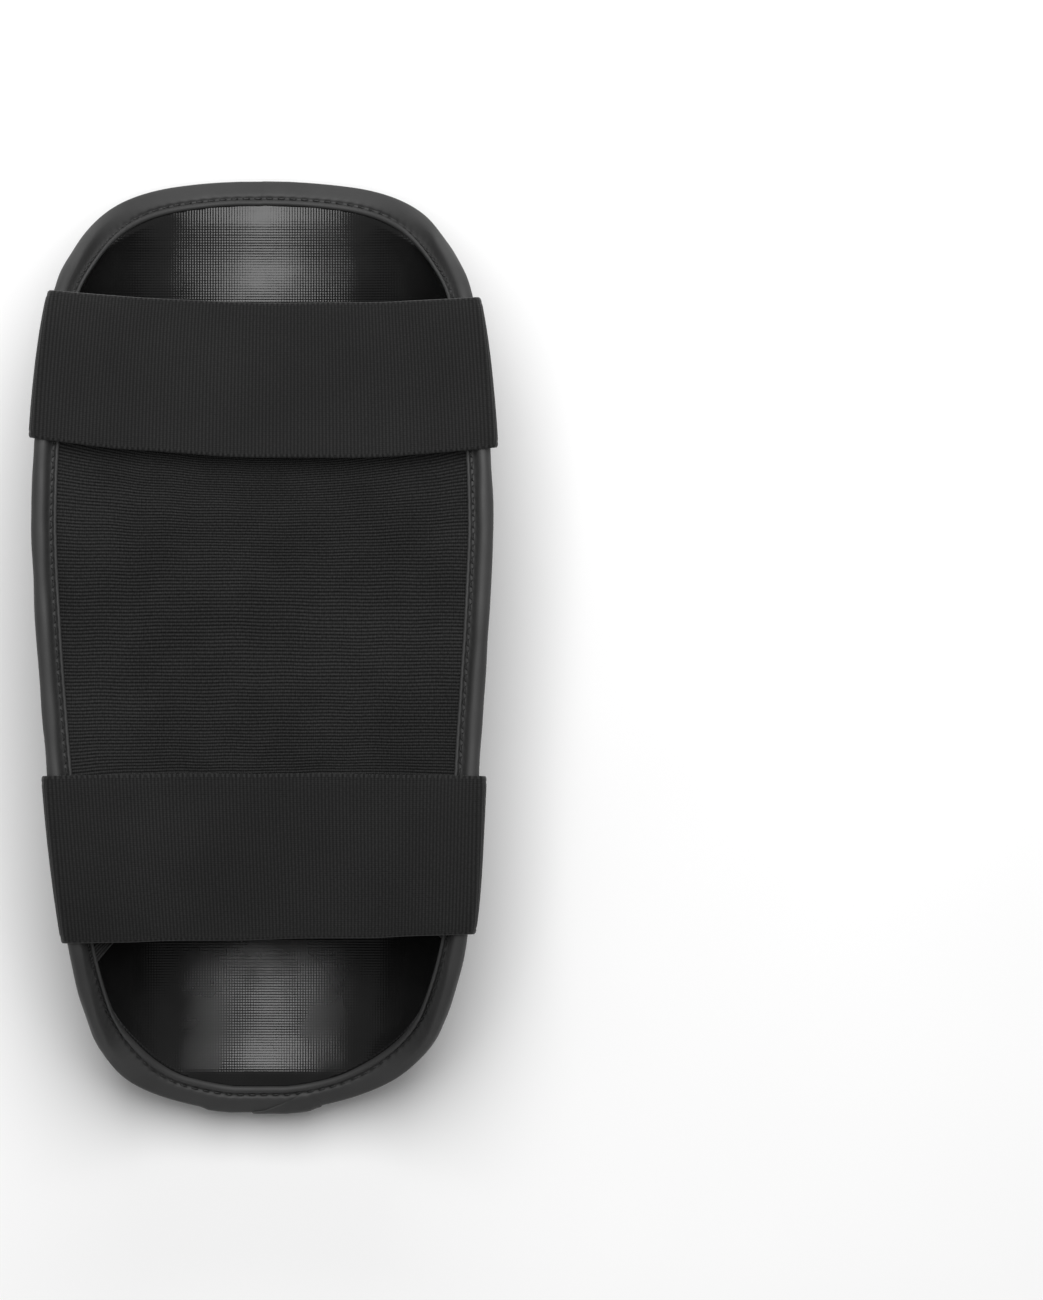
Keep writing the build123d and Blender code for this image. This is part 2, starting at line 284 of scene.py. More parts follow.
def even(curve, count):
    """The same curve with points at equal distances."""
    steps = travelled(curve)
    return between(np.linspace(0.0, steps[-1], count), steps, curve)


RIM_CURVE = spline(RIM, 600)
KNEE_END = 169.5
ANKLE_END = -168.5
# the walls are followed no further than this along the guard
WALL_REACH = 165.0


def rim_z(y):
    """Height of the binding's outer edge at a place along the guard."""
    return np.interp(y, RIM_CURVE[::-1, 0], RIM_CURVE[::-1, 1])


def rim_around(y):
    """Distance round the section of the binding's outer edge."""
    return around_at(y, rim_z(y), OUTER_DEPTH, 2)


def wall_x(y, depth, z):
    """Half width of the surface at a depth and a height."""
    return straight(y, around_at(y, z, depth, 2), depth)[..., 0]


class Loop:
    """Closed line on the gutter, as places along (y) and round (s) it."""

    def __init__(self, y, s, spacing):
        line = closed(np.stack([y, s], -1))
        self.length = travelled(line)[-1]
        self.count = int(round(self.length / spacing))
        points = even(line, self.count + 1)[:-1]
        self.y, self.s = points[:, 0], points[:, 1]
        tangent = np.roll(points, -2, axis=0) - np.roll(points, 2, axis=0)
        for _ in range(6):
            tangent = tangent + np.roll(tangent, 1, axis=0) + np.roll(tangent, -1, axis=0)
        tangent = unit(tangent)
        self.out_y, self.out_s = tangent[:, 1], -tangent[:, 0]
        self.along = np.arange(self.count) * self.length / self.count

    def at(self, inset, depth):
        """The line moved inwards by inset, at a depth."""
        return place(self.y - inset * self.out_y, self.s - inset * self.out_s, depth)

    def outward(self, inset):
        return outward(self.y - inset * self.out_y, self.s - inset * self.out_s)

    def towards(self, inset, spine_y, share, depth_at):
        """Points part of the way from the moved line to a spine on the centre line."""
        start_y = self.y - inset * self.out_y
        start_s = self.s - inset * self.out_s
        y = start_y + (spine_y - start_y) * share
        s = start_s * (1.0 - share)
        return place(y, s, depth_at(y, s))


def rim_loop(spacing):
    """The guard's whole outline, on the outside of the binding."""
    y, z = RIM_CURVE[:, 0], RIM_CURVE[:, 1]
    above = z > -OUTER_DEPTH + 0.05
    y, z = y[above], z[above]
    s = around_at(y, z, OUTER_DEPTH, 2)
    y = np.concatenate([[y[0] + 0.1], y, [y[-1] - 0.1]])
    s = np.concatenate([[0.0], s, [0.0]])
    half = even(np.stack([y, s], -1), 700)
    y, s = half[:, 0], half[:, 1]
    return Loop(np.concatenate([y, y[-2:0:-1]]), np.concatenate([s, -s[-2:0:-1]]), spacing)


# ---- mesh helpers
def mesh_piece(name, points, faces, sharp, uv=None):
    """New closed object from points in millimetres, smooth up to the angle sharp between faces."""
    mesh = bpy.data.meshes.new(name)
    mesh.from_pydata(to_world(points).tolist(), [], faces)
    mesh.validate()
    mesh.update()
    mesh.shade_smooth()
    mesh.set_sharp_from_angle(angle=math.radians(sharp))
    if uv is not None:
        layer = mesh.uv_layers.new(name="cloth")
        corners = np.empty(len(mesh.loops), dtype=np.int32)
        mesh.loops.foreach_get("vertex_index", corners)
        layer.data.foreach_set("uv", uv.astype(np.float32).reshape(-1, 2)[corners].ravel())
    turn_outwards(mesh)
    return add_object(name, mesh)


def add_object(name, data):
    """New object in the scene."""
    made = bpy.data.objects.new(name, data)
    bpy.context.collection.objects.link(made)
    return made


def grid_faces(rows, columns, wrap_rows, wrap_columns, start=0):
    """Quads of a grid of points, numbered row by row."""
    row = np.arange(rows if wrap_rows else rows - 1)
    column = np.arange(columns if wrap_columns else columns - 1)
    r, c = np.meshgrid(row, column, indexing="ij")
    r2, c2 = (r + 1) % rows, (c + 1) % columns
    quads = np.stack([r * columns + c, r * columns + c2, r2 * columns + c2, r2 * columns + c], -1)
    return (quads.reshape(-1, 4) + start).tolist()


def tube_piece(name, rows, uv, sharp):
    """Closed body whose rows are closed rings, with a flat cap at each end."""
    count, ring = rows.shape[:2]
    faces = grid_faces(count, ring, False, True)
    faces.append(list(range(ring))[::-1])
    faces.append([(count - 1) * ring + i for i in range(ring)])
    return mesh_piece(name, rows.reshape(-1, 3), faces, sharp, uv)


def ring_piece(name, rows, sharp=40.0):
    """Closed ring whose rows are loops round it."""
    rows = np.asarray(rows)
    faces = grid_faces(rows.shape[0], rows.shape[1], True, True)
    return mesh_piece(name, rows.reshape(-1, 3), faces, sharp)


def turn_outwards(mesh):
    """Turns a closed mesh's faces outwards."""

    def read(name, width):
        values = np.empty(len(mesh.polygons) * width)
        mesh.polygons.foreach_get(name, values)
        return values.reshape(-1, width)

    if (read("center", 3) * read("normal", 3) * read("area", 1)).sum() < 0:
        mesh.flip_normals()


def sheet_piece(name, front, back, uv=None, sharp=50.0):
    """Closed sheet from two grids of the same size."""
    rows, columns = front.shape[:2]
    size = rows * columns
    faces = grid_faces(rows, columns, False, False)
    faces += [face[::-1] for face in grid_faces(rows, columns, False, False, size)]
    rim = list(range(columns))
    rim += [r * columns + columns - 1 for r in range(1, rows)]
    rim += [(rows - 1) * columns + c for c in range(columns - 2, -1, -1)]
    rim += [r * columns for r in range(rows - 2, 0, -1)]
    for a, b in zip(rim, rim[1:] + rim[:1]):
        faces.append([b, a, a + size, b + size])
    points = np.concatenate([front, back]).reshape(-1, 3)
    uv = None if uv is None else np.concatenate([uv, uv])
    return mesh_piece(name, points, faces, sharp, uv)


def filled_loop(name, loop, profile, spine_y, rings, depth_at, under_depth):
    """Skin: a profile of (inset, depth) rows in from the loop, then rings in to a spine, then
    the same way back out under it at under_depth."""
    rows = [loop.at(inset, depth) for inset, depth in profile]
    last_inset = profile[-1][0]
    shares = np.linspace(0.0, 1.0, rings + 1)[1:]
    for share in shares:
        rows.append(loop.towards(last_inset, spine_y, share, depth_at))
    for share in shares[::-1][::4]:
        rows.append(loop.towards(last_inset, spine_y, share, under_depth))
    rows.append(loop.towards(profile[0][0], spine_y, 0.0, under_depth))
    return ring_piece(name, rows)


def level(depth):
    """The same depth everywhere."""
    return lambda y, s: depth


def stitches(name, line, up, seam):
    """Row of thread stitches along a line of points, lying on a surface whose normals are up."""
    pitch, length, radius = seam
    steps = travelled(line)
    count = max(int(steps[-1] / pitch), 1)
    centres = (np.arange(count) + 0.5) * steps[-1] / count
    rings, sides = 7, 6
    turns = np.arange(sides) * 2 * math.pi / sides
    points, faces = [], []
    for index, centre in enumerate(centres):
        share = np.linspace(-1.0, 1.0, rings)
        at = np.clip(centre + share * length / 2, 0.0, steps[-1])
        spine = between(at, steps, line)
        normal = unit(between(at, steps, up))
        side = np.cross(unit(spine[-1] - spine[0]), normal)
        height = radius * (1.0 - 1.9 * share ** 6) - STITCH_SINK
        width = radius * np.sqrt(np.maximum(1.05 - share ** 4, 0.02))
        rise = height[:, None] + width[:, None] * np.sin(turns)
        aside = width[:, None] * np.cos(turns)
        points.append(spine[:, None] + normal[:, None] * rise[..., None] + side[:, None] * aside[..., None])
        start = index * rings * sides
        faces += grid_faces(rings, sides, False, True, start)
        faces.append([start + i for i in range(sides)][::-1])
        faces.append([start + (rings - 1) * sides + i for i in range(sides)])
    return mesh_piece(name, np.reshape(points, (-1, 3)), faces, 60.0)


# ---- materials
class Recipe:
    """Small builder for one procedural material."""

    def __init__(self, name):
        self.material = bpy.data.materials.new(name)
        self.material.use_nodes = True
        self.tree = self.material.node_tree
        self.shader = self.tree.nodes["Principled BSDF"]
        self.bumps = None

    def node(self, kind, sources=(), **values):
        """New node; values name its sockets or its settings, sources feed its sockets."""
        node = self.tree.nodes.new(kind)
        for key, value in values.items():
            socket = key.replace("_", " ")
            if socket in node.inputs:
                node.inputs[socket].default_value = value
            else:
                setattr(node, key, value)
        for socket, source in dict(sources).items():
            self.tree.links.new(source, node.inputs[socket])
        return node

    def coordinates(self, uv=False):
        if uv:
            return self.node("ShaderNodeUVMap", uv_map="cloth").outputs["UV"]
        return self.node("ShaderNodeTexCoord").outputs["Object"]

    def noise(self, source, scale, detail=3.0, rough=0.55):
        texture = self.node(
            "ShaderNodeTexNoise", {"Vector": source}, Scale=scale, Detail=detail, Roughness=rough
        )
        return texture.outputs["Fac"]

    def cells(self, source, scale, feature="F1"):
        texture = self.node("ShaderNodeTexVoronoi", {"Vector": source}, feature=feature, Scale=scale)
        return texture.outputs["Distance"]

    def waves(self, source, scale, axis, distortion=0.0):
        texture = self.node(
            "ShaderNodeTexWave", {"Vector": source}, wave_type="BANDS", bands_direction=axis,
            Scale=scale, Distortion=distortion, Detail=1.0
        )
        return texture.outputs["Fac"]

    def off_middle(self, source):
        """Distance from the middle line of a strap."""
        across = self.node("ShaderNodeSeparateXYZ", {0: source}).outputs["Y"]
        return self.node("ShaderNodeMath", {0: across}, operation="ABSOLUTE").outputs[0]

    def ramp(self, source, low, high, start=0.3, end=0.7):
        limits = {"From_Min": start, "From_Max": end, "To_Min": low, "To_Max": high}
        return self.node("ShaderNodeMapRange", {"Value": source}, **limits).outputs["Result"]

    def colour(self, source, dark, light, start=0.3, end=0.7):
        """Colours the shader from dark to light as the source rises from start to end."""
        node = self.node("ShaderNodeMix", data_type="RGBA")
        colours = [socket for socket in node.inputs if socket.type == "RGBA"]
        for socket, value in zip(colours, (dark, light)):
            socket.default_value = (*np.broadcast_to(value, 3), 1.0)
        self.tree.links.new(self.ramp(source, 0.0, 1.0, start, end), node.inputs[0])
        mixed = next(socket for socket in node.outputs if socket.type == "RGBA")
        self.tree.links.new(mixed, self.shader.inputs["Base Color"])

    def rough(self, source, low, high):
        self.tree.links.new(self.ramp(source, low, high), self.shader.inputs["Roughness"])

    def combine(self, operation, result, *others):
        for other in others:
            result = self.node("ShaderNodeMath", {0: result, 1: other}, operation=operation).outputs[0]
        return result

    def bump(self, height, strength, distance):
        node = self.node("ShaderNodeBump", {"Height": height}, Strength=strength, Distance=distance)
        if self.bumps is not None:
            self.tree.links.new(self.bumps, node.inputs["Normal"])
        self.bumps = node.outputs["Normal"]
        self.tree.links.new(self.bumps, self.shader.inputs["Normal"])

    def set(self, **values):
        for key, value in values.items():
            self.shader.inputs[key.replace("_", " ")].default_value = value


def vinyl(name, dark, light, rough_low, rough_high, weave, grain, gloss):
    """Coated fabric: glossy black film with a faint print of the cloth under it."""
    recipe = Recipe(name)
    place_in = recipe.coordinates()
    recipe.colour(recipe.noise(place_in, 45.0, 4.0), dark, light)
    recipe.rough(recipe.noise(place_in, 70.0, 3.0, 0.5), rough_low, rough_high)
    if weave:
        threads = [recipe.waves(place_in, 320.0, axis, 0.15) for axis in "XY"]
        faint = recipe.ramp(recipe.noise(place_in, 55.0, 2.0), 0.6, 1.0)
        recipe.bump(recipe.combine("MULTIPLY", recipe.combine("ADD", *threads), faint), weave, 0.00007)
    recipe.bump(recipe.cells(place_in, 1500.0), grain, 0.00010)
    recipe.bump(recipe.noise(place_in, 60.0, 2.0), 0.06, 0.0010)
    recipe.set(Specular_IOR_Level=gloss)
    return recipe.material


# scale of a wave texture whose waves are one rib apart, on cloth coordinates that count the ribs
RIB_WAVES = 2 * math.pi / 20.0 / MM
CLOTH_HALF = 0.028
SELVEDGE_START = 0.0268


def woven(name, dark, light, pick_pitch, strength, selvedge=None):
    """Ribbed elastic: painted shade darkens the colour between its ribs, fine picks along them, matte with a
    little sheen.
    """
    recipe = Recipe(name)
    cloth = recipe.coordinates(uv=True)
    # painted shade: the colour is darkest in the grooves between the ribs, lined up with the ribs' relief
    ribs = recipe.ramp(recipe.waves(cloth, RIB_WAVES, "X"), 0.45, 1.0, 0.0, 0.9)
    picks = recipe.waves(cloth, RIB_WAVES / pick_pitch, "Y", 0.8)
    fuzz = recipe.noise(cloth, 1400.0, 2.0)
    worn = recipe.ramp(recipe.noise(recipe.coordinates(), 30.0, 3.0), 0.88, 1.12)
    threads = recipe.ramp(picks, 0.82, 1.0, 0.0, 1.0)
    blend = recipe.combine("MULTIPLY", ribs, threads, recipe.ramp(fuzz, 0.65, 1.3), worn)
    if selvedge:
        at_edge = recipe.ramp(recipe.off_middle(cloth), 0.0, 1.0, selvedge, selvedge + 0.0004)
        dots = recipe.ramp(recipe.waves(cloth, RIB_WAVES / 1.5, "X"), -0.3, 0.45, 0.2, 0.8)
        blend = recipe.combine("ADD", blend, recipe.combine("MULTIPLY", at_edge, dots))
    recipe.colour(blend, dark, light, 0.3, 1.15)
    recipe.rough(fuzz, 0.72, 0.95)
    recipe.bump(picks, strength, 0.00010)
    recipe.bump(fuzz, 0.30, 0.00010)
    recipe.set(Sheen_Weight=0.12, Sheen_Roughness=0.45, Specular_IOR_Level=0.12)
    return recipe.material


def pile(name, dark, light, scale, strength, feature):
    """Hook or loop tape: short dense pile."""
    recipe = Recipe(name)
    place_in = recipe.coordinates()
    tufts = recipe.cells(place_in, scale, feature)
    tangle = recipe.noise(place_in, scale * 0.8, 5.0, 0.7)
    both = recipe.combine("MULTIPLY", tufts, tangle)
    recipe.colour(both, dark, light, 0.1, 0.5)
    recipe.rough(tangle, 0.75, 0.98)
    recipe.bump(both, strength, 0.0005)
    recipe.set(Sheen_Weight=0.35, Specular_IOR_Level=0.12)
    return recipe.material


def grainy(name, dark, light, scale, detail, rough_low, rough_high, strength, distance):
    """One noise for colour, roughness and relief: twisted thread, foam or moulded plastic."""
    recipe = Recipe(name)
    grain = recipe.noise(recipe.coordinates(), scale, detail)
    recipe.colour(grain, dark, light)
    recipe.rough(grain, rough_low, rough_high)
    recipe.bump(grain, strength, distance)
    return recipe.material


MATERIALS = {name: make(name, *values) for make, name, *values in (
    (vinyl, "lining_vinyl", 0.007, 0.012, 0.16, 0.20, 0.55, 0.05, 0.36),
    (vinyl, "cover_leather", 0.012, 0.022, 0.36, 0.52, 0.0, 0.45, 0.5),
    (vinyl, "binding_tape", 0.030, 0.040, 0.55, 0.66, 0.0, 0.25, 0.4),
    (woven, "rib_elastic", 0.001, 0.031, 0.8, 0.5),
    (woven, "strap_elastic", 0.007, 0.023, 0.7, 0.5, SELVEDGE_START),
    (pile, "hook_tape", 0.006, 0.026, 900.0, 1.0, "F1"),
    (pile, "loop_tape", 0.010, 0.036, 1300.0, 0.9, "SMOOTH_F1"),
    (grainy, "thread", 0.006, 0.018, 2600.0, 2.0, 0.4, 0.7, 0.5, 0.00015),
    (grainy, "foam", (0.04, 0.04, 0.045), (0.07, 0.07, 0.075), 700.0, 4.0, 0.855, 0.95, 0.5, 0.0003),
    (grainy, "plate_plastic", 0.05, 0.08, 300.0, 4.0, 0.45, 0.5, 0.1, 0.0003),
)}


def finish_piece(piece, slot, body, *nodes):
    """Material and slot of a piece, its body where one body is named (given a tuple, its bodies and bend ends
    are not used and the shape is baked where it stands), and hides the CAD nodes it stands for.
    """
    piece.data.materials.clear()
    piece.data.materials.append(MATERIALS[slot])
    if isinstance(body, str):
        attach(piece, body)
    else:
        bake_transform(piece)
    if nodes:
        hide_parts(*nodes)


def sewing(name, line, up, seam, body="guard", *nodes):
    """Finished row of stitches."""
    finish_piece(stitches(name, line, up, seam), "thread", body, *nodes)


GUARD = "guard"
LOOP_SPACING = 1.5
RIB_STEP = RIB_PITCH * 1
rim = rim_loop(LOOP_SPACING)
tape_rim = rim_loop(0.8)
SPINE_HALF = 95.0
spine = np.clip(rim.y * 0.62, -SPINE_HALF, SPINE_HALF)


def rim_inset(y, s):
    """How far in from the outline a place on the gutter is, measured round or along it."""
    around = rim_around(np.clip(y, -WALL_REACH, WALL_REACH)) - np.abs(s)
    return np.minimum.reduce([around, KNEE_END - y, y - ANKLE_END])


LINING_SWELL = 0.6
DENT_HEIGHT = 0.16
CREASE_HEIGHT = 0.05
CREASE_PITCH = 3.4


def lining_depth(y, s):
    """Face of the lining: soft dents, and creases along the knee end."""
    inset = rim_inset(y, s)
    dents = DENT_HEIGHT * ripple(y, s, 60.0, 3) + 0.03 * ripple(y, s, 21.0, 5)
    swell = -LINING_SWELL * smooth((inset - 8.0) / 5.0) * (1.0 - smooth((inset - 13.0) / 16.0))
    near_knee = smooth((y - 138.0) / 12.0) * (1.0 - smooth((np.abs(s) - 45.0) / 25.0))
    wander = 2.0 * ripple(y, s, 60.0, 8)
    crease = CREASE_HEIGHT * near_knee * np.sin(2 * math.pi * (y + wander) / CREASE_PITCH)
    rise = -ANKLE_RISE * smooth((-106.0 - y) / 54.0) * smooth((inset - 8.0) / 7.0)
    return dents * smooth(inset / 20.0) + swell + crease + rise


def cover_depth(y, s):
    """Outside of the wings: slightly padded between the binding and the front pad."""
    inset = rim_inset(y, s)
    swell = 0.9 * smooth((inset - 7.0) / 8.0) * (1.0 - smooth((inset - 20.0) / 14.0))
    return COVER_DEPTH + 0.1 + swell * 0.5 + 0.25 * ripple(y, s, 40.0, 11) * smooth(inset / 20.0)


def make_gutter():
    """Lining, foam and outer cover, each a skin from the rim to the middle and back under itself."""
    cover = tape_coverage(rim.y)

    def lining_back(y, s):
        return lining_depth(y, s) + LINING_DEPTH

    for name, slot, node, profile, rings, face, back in (
        (
            "lining_sheet", "lining_vinyl", "lining",
            [(7.0 * cover, 1.3), (7.8 * cover, 0.6), (8.5 * cover, 0.15)],
            56, lining_depth, lining_back
        ),
        (
            "comfort_foam_core", "foam", "comfort_foam", [(4.2, 3.8), (5.5, 3.2), (7.5, 2.4)],
            16, level(2.1), level(4.2)
        ),
        (
            "outer_cover_sheet", "cover_leather", "outer_cover", [(5.0, 5.2), (6.5, 5.4), (7.6, 5.5)],
            30, cover_depth, level(FOAM_DEPTH)
        ),
    ):
        finish_piece(filled_loop(name, rim, profile, spine, rings, face, back), slot, GUARD, node)


# (inset, depth) of the tape's outside, from its folded edge inside the hollow, through the stitched
# groove and over the rim, down to its edge outside: along the walls, and at the two flat ends
TAPE_OUTSIDE = ((6.15, 6.05), (6.8, 6.3), (7.8, 6.75), (8.6, 6.75), (8.9, 6.2), (8.6, 5.4))
TAPE_AT_WALLS = (
    (8.8, 0.5), (9.1, -0.4), (9.0, -1.3), (8.4, -2.0), (7.3, -2.2), (6.5, -2.1), (6.1, -1.75),
    (6.1, -1.4), (6.5, -1.05), (7.0, -0.8), (7.3, -0.4), (7.2, 0.1), (6.7, 0.5), (5.2, 0.75),
    (3.4, 0.9), (1.8, 1.1), (0.9, 1.5), (0.45, 2.1), (0.2, 2.9), (0.1, 3.7), (0.35, 4.5),
    (0.85, 5.25), (1.6, 5.9), (2.5, 6.35), (3.6, 6.6), (5.5, 6.3),
) + TAPE_OUTSIDE
TAPE_AT_ENDS = (
    (8.8, 0.5), (9.1, -0.1), (8.9, -0.6), (8.4, -0.95), (7.7, -1.05), (7.1, -0.9), (6.7, -0.5),
    (6.5, 0.0), (6.35, 0.5), (6.1, 0.95), (5.8, 1.15), (5.5, 1.1), (5.2, 0.85), (4.6, 0.85),
    (3.7, 1.4), (2.8, 2.1), (2.0, 2.8), (1.3, 3.5), (0.65, 4.1), (0.2, 4.75), (0.0, 5.3),
    (0.15, 5.85), (0.6, 6.3), (1.4, 6.6), (3.2, 6.75), (5.5, 6.3),
) + TAPE_OUTSIDE
TAPE_INSIDE = ((6.8, 5.0), (2.0, 5.3), (2.0, 4.7), (6.0, 2.6))
# share of the full coverage that the tape has along the sides and the knee end
TAPE_COVERAGE = 0.77
TAPE_SPLIT = 4.3
GROOVE_AT_WALLS = (6.9, -0.15)
GROOVE_AT_ENDS = (5.8, 1.05)
TAPE_PUCKER = 0.25
TAPE_LUMPS = 0.20
TAPE_WAVER = 0.16
# where the binding's flat end at the ankle begins
ANKLE_FLAT_Y = -150.0
ANKLE_BULGE = 0.7
ANKLE_BULGE_REACH = 21.0
# the binding stands out more round the corners of the two ends
KNEE_FULLNESS = 1.9
ANKLE_FULLNESS = 1.3


def tape_coverage(y):
    """Share of the full coverage that the tape has at a place along the guard."""
    return TAPE_COVERAGE + (1.0 - TAPE_COVERAGE) * smooth((-95.0 - y) / 50.0)


def tape_mix(loop, at_wall, at_end):
    """Inset and depth round a loop, between their values along the walls and at the ends."""
    share = smooth((WALL_TURN - section(loop.y, loop.s)[2]) / math.radians(45.0))
    return tuple(wall + (end - wall) * share for wall, end in zip(at_wall, at_end))


def tape_row(loop, at_wall, at_end):
    """Place of one row of the tape round a loop: puckered between its stitches, a little uneven."""
    inset, depth = tape_mix(loop, at_wall, at_end)
    groove = tape_mix(loop, GROOVE_AT_WALLS, GROOVE_AT_ENDS)[0]
    phase = 2 * math.pi * loop.along / STITCH_PITCH
    near_stitch = np.exp(-((inset - groove) / 0.8) ** 2) * (0.25 + 0.75 * smooth(depth + 1.5))
    pucker = TAPE_PUCKER * np.cos(phase) * near_stitch
    outer = 1.0 - smooth((inset - 3.0) / 5.0)
    lumps = TAPE_LUMPS * ripple(loop.along, 0.0, 19.0, 21) * outer
    face = np.tanh(2.0 * (depth - TAPE_SPLIT))
    waver = TAPE_WAVER * ripple(loop.along, inset, 31.0, 23)
    reach = smooth((ANKLE_BULGE_REACH - np.abs(loop.s)) / 4.0) * (loop.y < ANKLE_FLAT_Y)
    fuller = KNEE_FULLNESS * smooth((loop.y - 131.0) / 20.0)
    fuller = fuller + ANKLE_FULLNESS * smooth((-107.0 - loop.y) / 22.0) * smooth((loop.y + 166.0) / 14.0)
    bulge = (ANKLE_BULGE * reach + fuller) * np.maximum(1.0 - inset / 6.0, 0.0)
    covered = np.maximum(inset, 0.0) * tape_coverage(loop.y) + np.minimum(inset, 0.0)
    return covered + waver - bulge, depth + face * (pucker + lumps)


def make_binding():
    rows = []
    for at_wall, at_end in zip(TAPE_AT_WALLS, TAPE_AT_ENDS):
        rows.append(tape_rim.at(*tape_row(tape_rim, at_wall, at_end)))
    for inset, depth in TAPE_INSIDE:
        rows.append(tape_rim.at(inset * tape_coverage(tape_rim.y), depth))
    finish_piece(ring_piece("binding_tape", rows, 50.0), "binding_tape", GUARD, "edge_binding")


def make_binding_stitches():
    outer_stitch = (6.15, 6.12)
    for name, wall, end, face in (
        ("inner", GROOVE_AT_WALLS, GROOVE_AT_ENDS, -1.0), ("outer", outer_stitch, outer_stitch, 1.0)
    ):
        inset, depth = tape_mix(tape_rim, wall, end)
        inset = inset * tape_coverage(tape_rim.y)
        line = tape_rim.at(inset, depth)
        up = face * tape_rim.outward(inset)
        nodes = ("binding_stitching",) if name == "inner" else ()
        sewing("binding_stitches_" + name, closed(line), closed(up), BINDING_SEAM, GUARD, *nodes)


FOLD_LIFT = 0.55
FOLD_END_X = 23.0
FOLD_SLANT_START_X = 0.7
FOLD_SLANT = 2.7
FOLD_OUTSIDE_X = -2.0


def make_binding_fold():
    """The tape's end at the ankle, cut at a slant and lapped over the tape's start."""
    middle = int(np.argmin(np.where(tape_rim.y < ANKLE_FLAT_Y, np.abs(tape_rim.s), np.inf)))
    size = tape_rim.length / tape_rim.count
    slope = np.gradient(np.array(TAPE_AT_ENDS), axis=0)
    normals = unit(np.stack([-slope[:, 1], slope[:, 0]], -1))
    columns = 40
    top, under = [], []
    for (inset, depth), normal in zip(TAPE_AT_ENDS, normals):
        row_inset, row_depth = tape_row(tape_rim, (inset, depth), (inset, depth))
        start = FOLD_SLANT_START_X + FOLD_SLANT * max(inset, 0.0)
        if depth > TAPE_SPLIT:
            start = FOLD_OUTSIDE_X
        start = min(start, FOLD_END_X - 1.5)
        share = np.linspace(0.0, 1.0, columns)
        across = start + (FOLD_END_X - start) * share
        at = middle - across / size
        index = np.floor(at).astype(int)
        part = at - index
        index, after = index % tape_rim.count, (index + 1) % tape_rim.count

        def sample(values):
            return values[index] * (1 - part) + values[after] * part

        far_fade = 0.7 if inset < 2.0 else 9.0
        close = smooth((across - start) / 0.6) * smooth((FOLD_END_X - across) / far_fade)
        for rows, lift in ((top, FOLD_LIFT * close - 0.12 * (1 - close)), (under, -0.35 + 0 * close)):
            inset_here = sample(row_inset) + normal[0] * lift
            depth_here = sample(row_depth) + normal[1] * lift
            y = sample(tape_rim.y) - inset_here * sample(tape_rim.out_y)
            around = sample(tape_rim.s) - inset_here * sample(tape_rim.out_s)
            rows.append(place(y, around, depth_here))
    piece = sheet_piece("binding_lapped_end", np.array(top), np.array(under))
    finish_piece(piece, "binding_tape", GUARD, "binding_end_fold")


# ---- calf panel
PANEL_KNEE_Y = 122.0
PANEL_ANKLE_Y = -116.0
PANEL_THICKNESS = 1.2
PANEL_SAG = 11.0
PANEL_INSET = 8.0
PANEL_SCOOP = 34.0
# how much shorter the panel is at the ankle on its right edge
PANEL_SKEW = 9.0
PANEL_CALM_KNEE_Y = 15.0
PANEL_CALM_ANKLE_Y = -15.0
RIB_HEIGHT = 0.42
# every second rib stands a little higher
RIB_UNEVEN = 0.16
# how closely the panel's columns crowd towards its seams, 1 being a full cosine
PANEL_CROWDING = 0.94
# how far the raised hem reaches in from each end of the panel, and how high it stands
PANEL_HEM = 6.0
PANEL_HEM_HEIGHT = 0.55


def panel_bow(y):
    """How far the middle of a rib is pulled towards the middle of the panel."""
    knee = np.maximum(y - PANEL_CALM_KNEE_Y, 0.0) / (PANEL_KNEE_Y - PANEL_CALM_KNEE_Y)
    ankle = np.maximum(PANEL_CALM_ANKLE_Y - y, 0.0) / (PANEL_CALM_ANKLE_Y - PANEL_ANKLE_Y)
    return PANEL_SCOOP * (knee ** 2.2 - ankle ** 2.2)


def make_calf_panel():
    rib_y = np.arange(PANEL_ANKLE_Y, PANEL_KNEE_Y, RIB_STEP / SAMPLES_PER_RIB)
    columns = 61
    widest = math.pi / 2 * PANEL_CROWDING
    across = np.sin(np.linspace(-1, 1, columns) * widest) / math.sin(widest)
    y0, u = np.meshgrid(rib_y, across, indexing="ij")
    crown = 1.0 - u ** 2
    y = y0 - panel_bow(y0) * crown
    wave = ripple(y0, u * 75, 70.0, 31)
    y = y + 0.55 * wave * crown + 0.25 * ripple(y0, u * 75, 24.0, 33)
    y = y + PANEL_SKEW * np.maximum(u, 0.0) * smooth((PANEL_CALM_ANKLE_Y - y0) / 100.0)
    edge = straight(y, rim_around(y) - PANEL_INSET * tape_coverage(y), -0.1)
    x = u * edge[..., 0]
    z = edge[..., 2] - PANEL_SAG * crown ** 0.85 + 0.8 * ripple(x, y, 75.0, 35) * crown
    phase = (y0 - PANEL_ANKLE_Y) / RIB_STEP
    swing = np.sin(math.pi * phase)
    rib = np.abs(swing) * (1.0 + RIB_UNEVEN * np.sign(swing))
    loose = 0.85 + 0.15 * ripple(x, y0 * 3, 20.0, 37)
    hem = np.minimum(y0 - PANEL_ANKLE_Y, PANEL_KNEE_Y - y0)
    hem_lift = PANEL_HEM_HEIGHT * (1.0 - smooth((hem - PANEL_HEM) / 0.8))
    top = z + RIB_HEIGHT * rib * loose + hem_lift
    bottom = z - PANEL_THICKNESS - RIB_HEIGHT * rib * loose
    front, back = (np.stack([x + sway(y), y, face], -1) for face in (top, bottom))
    uv = np.stack([phase * MM, x * MM], -1)
    piece = sheet_piece("calf_panel_cloth", front, back, uv, 80.0)
    finish_piece(piece, "rib_elastic", GUARD, "calf_panel")


